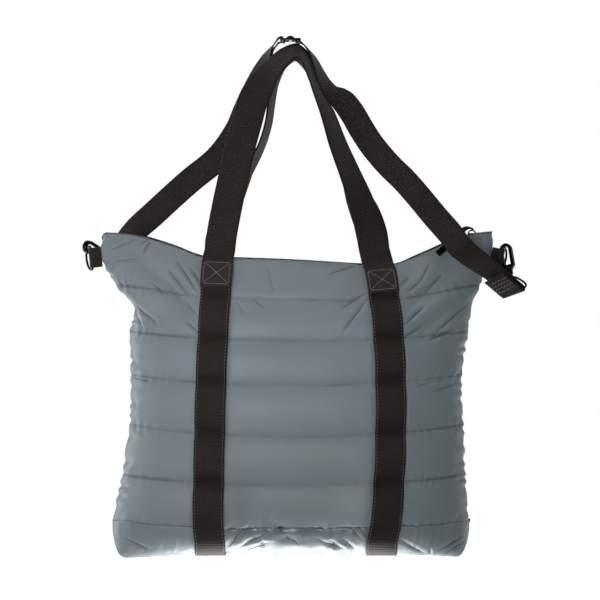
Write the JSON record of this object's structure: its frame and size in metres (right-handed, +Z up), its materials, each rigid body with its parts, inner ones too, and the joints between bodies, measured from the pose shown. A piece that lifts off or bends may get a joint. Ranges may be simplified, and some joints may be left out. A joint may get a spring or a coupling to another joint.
{
  "type": "tote bag",
  "caption": "Padded, quilted cloth tote bag with long webbing handles, a zipped mouth and a clip-on shoulder strap, shown hanging by its handles.",
  "frame": {"origin": "seat of the hook that carries the bag, under the crown of the two handles", "axes": "+Z up, the front faces -Y, +X to the viewer's right along the width"},
  "size_m": [0.5557, 0.1596, 0.6506],
  "materials": {
    "shell_cloth": "matte coated nylon, quilted over padding",
    "webbing": "matte ribbed webbing",
    "patch_leather": "matte",
    "zip_cloth": "matte",
    "black_metal": "satin black"
  },
  "bodies": {
    "bag": {"front_panel": "shell_cloth", "back_panel": "shell_cloth", "base_panel": "shell_cloth", "handle_front": "webbing", "handle_back": "webbing", "side_tab_left": "webbing", "side_tab_right": "webbing", "shoulder_strap": "webbing", "patch_front_left": "patch_leather", "patch_front_right": "patch_leather", "patch_back_left": "patch_leather", "patch_back_right": "patch_leather", "zip_tape_front": "zip_cloth", "zip_tape_back": "zip_cloth", "zip_slider": "black_metal", "zip_puller": "black_metal", "d_ring_left": "black_metal", "d_ring_right": "black_metal", "hook_body_left": "black_metal", "hook_body_right": "black_metal", "hook_loop_left": "black_metal", "hook_loop_right": "black_metal", "strap_adjuster": "black_metal"},
    "gate_left": {"hook_gate_left": "black_metal"},
    "gate_right": {"hook_gate_right": "black_metal"}
  },
  "joints": [
    {"name": "gate_left_hinge", "type": "hinge", "parent": "bag", "child": "gate_left", "pos_m": [-0.2526, 0.01956, -0.24513], "axis": [-0.7451, 0.6386, 0.1921], "range_deg": [0, 26], "stiffness_Nm_per_rad": 0.02, "springref_deg": -20.05},
    {"name": "gate_right_hinge", "type": "hinge", "parent": "bag", "child": "gate_right", "pos_m": [0.26038, 0.00748, -0.25514], "axis": [0.4474, 0.8619, -0.2385], "range_deg": [0, 26], "stiffness_Nm_per_rad": 0.02, "springref_deg": -20.05}
  ]
}
